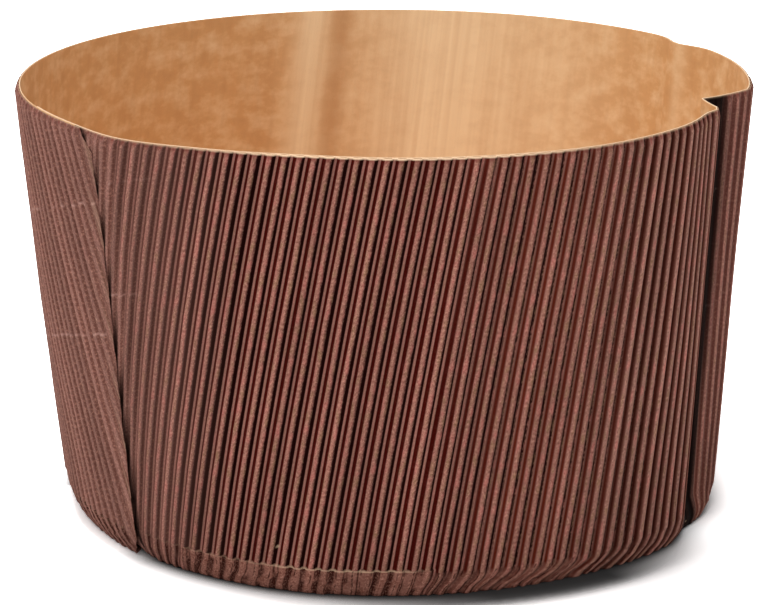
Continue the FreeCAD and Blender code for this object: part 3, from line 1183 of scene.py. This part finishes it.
@dataclass
class Liner(Ply):
    """The flat inner ply, which the glue lines of the flutes show through faintly."""

    thickness: float = 0.2
    quilting: float = 0.045
    stations: tuple[float, ...] = (0.0, 0.25, 0.5, 0.75)
    below_rim: tuple[float, ...] = (
        0.0, 0.2, 0.6, 6.0, 13.0, 20.0, 27.0, 34.0, 41.0, 48.0, 55.0, 62.0, 69.0, 76.0, 82.5)
    hem_depths: tuple[float, ...] = (1.0, 1.3, 1.6, 1.85, 2.0, 2.2, 2.5, 2.8, 3.0)
    recess: float = 1.7
    corners: Table = FlutedPly.corners
    hem_cut: tuple[float, float, float] = (0.0, 80.0, 0.6)
    rim_at_lap: float = 0.25
    # Pale stripes by angle; the broad one at 80 degrees is a painted highlight on the back of the inside.
    pale_stripes: Bumps = ((102.3, 1.0, 3.2), (80.0, 1.0, 14.0), (58.0, 0.45, 12.0), (28.0, 0.4, 1.5))
    dark_stripes: Bumps = ((97.3, 0.55, 2.0),)

    def build(self) -> bpy.types.Object:
        """Make the liner."""
        return self.make("liner", list(self.stations))

    def marks(self) -> Marks:
        """What the liner's finish reads."""
        return {"rim": self.rim, "pale": self.pale, "dark": self.dark}

    def place(self, flute: float, row: int) -> Vector:
        """Where a point of the liner goes, in millimetres."""
        k = int(flute)
        phase = flute - k
        start, end = self.sheet.glue[row][k], self.sheet.glue[row][k + 1]
        inward = self.quilting * (1.0 - math.cos(2.0 * math.pi * phase)) * 0.5
        return start.lerp(end, phase) - self.sheet.normal(flute, row) * inward

    def rim(self, flute: float, row: float) -> float:
        """How much of a point's colour is that of the pale cut edge, less in the outer layer of the lap."""
        outer = ramp(self.sheet.angle(flute, 0), *self.strip.lift)
        return max(0.0, 1.0 - row) * between(1.0, self.rim_at_lap, outer)

    def pale(self, flute: float, row: float) -> float:
        """Strength of the pale stripes at a point, the broad one at 80 degrees a painted highlight."""
        return min(1.0, summed(self.pale_stripes, self.sheet.angle(flute, 0)))

    def dark(self, flute: float, row: float) -> float:
        """Strength of the dark stripes at a point."""
        return min(1.0, summed(self.dark_stripes, self.sheet.angle(flute, 0)))

    def dress(self, piece: bpy.types.Object) -> None:
        """Give the liner its two finishes and its place on the part."""
        edge = CutEdge("cut_kraft", "rim", srgb(196, 146, 104), srgb(244, 206, 164), srgb(160, 110, 72))
        self.finish(piece, KraftLiner(), edge)
        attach(piece, "root")
        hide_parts(Part.LINER.value)


@dataclass
class BaseDisc:
    """The card disc that lies on the hem and closes the bottom."""

    strip: Strip
    radius: float = 65.3
    underside: float = 1.7
    thickness: float = 0.5
    corners: int = 192
    rings: tuple[float, ...] = (0.985, 0.96, 0.8, 0.6, 0.4, 0.2)
    warp: float = 0.12
    warp_turn: float = 40.0
    edge_round: float = 0.08

    def build(self) -> bpy.types.Object:
        """Make the disc, in its place."""
        deselect()
        bpy.ops.mesh.primitive_circle_add(
            vertices=self.corners, radius=self.radius * MM, fill_type="NGON",
            location=(0.0, 0.0, self.underside * MM))
        piece = added("base_card")
        bpy.ops.object.transform_apply(location=True)
        bpy.ops.object.mode_set(mode="EDIT")
        bpy.ops.mesh.select_all(action="SELECT")
        last = 1.0
        for ring in self.rings:
            bpy.ops.mesh.inset(thickness=(last - ring) * self.radius * MM, depth=0.0)
            last = ring
        bpy.ops.mesh.select_all(action="SELECT")
        bpy.ops.mesh.extrude_region_move(TRANSFORM_OT_translate={"value": (0.0, 0.0, self.thickness * MM)})
        bpy.ops.mesh.select_all(action="SELECT")
        bpy.ops.mesh.normals_make_consistent(inside=False)
        bpy.ops.object.mode_set(mode="OBJECT")
        for vert in piece.data.vertices:
            self.settle(vert)
        applied(piece, "BEVEL", width=self.edge_round * MM, segments=2, limit_method="ANGLE",
                angle_limit=math.radians(50.0))
        return piece

    def settle(self, vert: bpy.types.MeshVertex) -> None:
        """Move a point of the round, flat disc to the base's own outline, and warp it a little."""
        angle = math.degrees(math.atan2(vert.co.y, vert.co.x))
        share = math.hypot(vert.co.x, vert.co.y) / (self.radius * MM)
        stretch = 1.0 + self.strip.wave(angle) / self.radius * share
        vert.co.x *= stretch
        vert.co.y *= stretch
        sag = share * (1.0 - share * share) * math.sin(math.radians(2.0 * angle + self.warp_turn))
        vert.co.z += self.warp * MM * sag

    def dress(self, piece: bpy.types.Object) -> None:
        """Give the disc its finish and its place on the part."""
        piece.data.materials.append(KraftCard().build())
        bpy.context.view_layer.objects.active = piece
        piece.select_set(True)
        bpy.ops.object.shade_smooth_by_angle(angle=math.radians(30.0))
        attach(piece, "root")
        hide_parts(Part.DISC.value)


# ---- Studio ----
@dataclass(frozen=True)
class Lamp:
    """A soft box: where it hangs, how large it is and how bright."""

    name: str
    place: tuple[float, float, float]
    size: float
    power: float


@dataclass(frozen=True)
class Studio:
    """A plain white table in soft light, with a painted shadow round the mould's foot, and the camera."""

    lamps: tuple[Lamp, ...] = (
        Lamp("key_softbox", (-0.22, 0.1, 1.3), 0.35, 8.0),
        Lamp("left_softbox", (-0.75, -0.2, 1.05), 0.7, 3.6),
        Lamp("front_fill", (0.1, -1.25, 0.95), 0.9, 5.4),
    )
    aim: tuple[float, float, float] = (0.0, 0.0, 0.045)
    sky: float = 0.45
    floor_size: float = 8.0
    floor_colour: float = 0.8
    floor_as_seen: float = 2.2
    # Painted shadow round the foot: its reach, where round the mould it is deep and where faint, and
    # painted light that washes out the lamps' shadow at the right.
    painted_shadow_reach: float = 0.0105
    deep_painted_shadow: Table = (
        (0.17, 0.0), (0.222, 0.35), (0.242, 0.6), (0.278, 0.9), (0.3, 1.0), (0.36, 1.0), (0.436, 0.0))
    faint_painted_shadow: Table = ((0.1, 0.7), (0.126, 0.0))
    painted_light_right: Table = ((0.38, 0.0), (0.43, 0.6))
    camera_place: tuple[float, float, float] = (0.0, -0.6610, 0.2273)
    camera_pitch: float = 15.74
    lens: float = 152.25
    shift: Span = (-0.0059, 0.0014)
    nearest: float = 0.01

    def build(self) -> None:
        """Set up the floor, the lamps, the world and the camera."""
        self.lay_floor()
        for lamp in self.lamps:
            self.hang(lamp)
        self.light_world()
        self.place_camera()
        bpy.context.scene.view_settings.view_transform = "Standard"

    def seen(self, shader: Shader) -> Value:
        """1 for rays that see the background, straight or through gloss and glass, and 0 for the rest."""
        camera, glossy, through = [
            shader.node("LightPath", {}, output=f"Is {kind} Ray")
            for kind in ("Camera", "Glossy", "Transmission")]
        return camera.at_least(glossy).at_least(through)

    def lay_floor(self) -> None:
        """Lay a white floor that keeps the mould's shadow and carries a painted shadow round its foot."""
        deselect()
        bpy.ops.mesh.primitive_plane_add(size=self.floor_size)
        floor = added("floor")
        shader = Shader("white_table_with_painted_shadow")
        # The floor as seen takes the painted shadow.
        real, white = [shader.node("BsdfDiffuse", {}, {"Color": shader.grey(tone)})
                       for tone in (self.floor_colour, self.painted_contact_shadow(shader))]
        mixed = shader.node("MixShader", {}, {0: self.seen(shader), 1: real, 2: white})
        floor.data.materials.append(shader.finished(mixed))

    def painted_contact_shadow(self, shader: Shader) -> Value:
        """The floor's brightness as seen, darkened by occlusion into a painted shadow deepest at the right
        of the front, and raised by painted light at the right.
        """
        x, y = shader.axes(shader.place())
        turn = shader.node("Math", {"operation": "ARCTAN2"}, {0: y, 1: x}) * (0.5 / math.pi) + 0.5
        free = shader.node(
            "AmbientOcclusion", {"samples": 16}, {"Distance": self.painted_shadow_reach}, output="AO")
        deep = shader.ramp(free, (0.5, 0.03), (0.66, 0.05), (0.77, 0.25), (0.86, 0.7), (0.93, 1.0))
        faint = shader.ramp(free, (0.2, 0.02), (0.35, 0.12), (0.55, 0.6), (0.75, 1.0))
        shaded = shader.coats(faint, (shader.ramp(turn, *self.deep_painted_shadow), deep),
                              (shader.ramp(turn, *self.faint_painted_shadow), WHITE))
        return shader.red(shaded) * (shader.ramp(turn, *self.painted_light_right) + self.floor_as_seen)

    def hang(self, lamp: Lamp) -> None:
        """Hang a soft box and turn it to the mould."""
        deselect()
        bpy.ops.object.light_add(type="AREA", location=lamp.place)
        light = bpy.context.active_object
        light.name = lamp.name
        light.data.shape = "DISK"
        light.data.size = lamp.size
        light.data.energy = lamp.power
        light.rotation_euler = (Vector(lamp.place) - Vector(self.aim)).to_track_quat("Z", "Y").to_euler()

    def light_world(self) -> None:
        """Fill the room with even white light, and make it white where it is seen."""
        shader = Shader("white_room", bpy.data.worlds)
        room, backdrop = [shader.node("Background", {}, {"Color": WHITE, "Strength": strength})
                          for strength in (self.sky, 1.0)]
        mixed = shader.node("MixShader", {}, {0: self.seen(shader), 1: room, 2: backdrop})
        bpy.context.scene.world = shader.finished(mixed, "World")

    def place_camera(self) -> None:
        """Set the camera a little above the rim, looking down at the front."""
        deselect()
        bpy.ops.object.camera_add(location=self.camera_place)
        camera = bpy.context.active_object
        camera.rotation_euler = (math.radians(90.0 - self.camera_pitch), 0.0, 0.0)
        camera.data.lens = self.lens
        camera.data.shift_x, camera.data.shift_y = self.shift
        camera.data.clip_start = self.nearest
        bpy.context.scene.camera = camera


def main() -> None:
    """Build the pieces and the studio, and log how many faces each piece has."""
    logging.basicConfig(level=logging.INFO, format="%(message)s")
    strip = Strip()
    lines = strip.glue_lines()
    for maker in (FlutedPly(strip, lines), Liner(strip, lines), BaseDisc(strip)):
        piece = maker.build()
        maker.dress(piece)
        log.info("%s: %d faces", piece.name, len(piece.data.polygons))
    Studio().build()


if __name__ == "__main__":
    main()
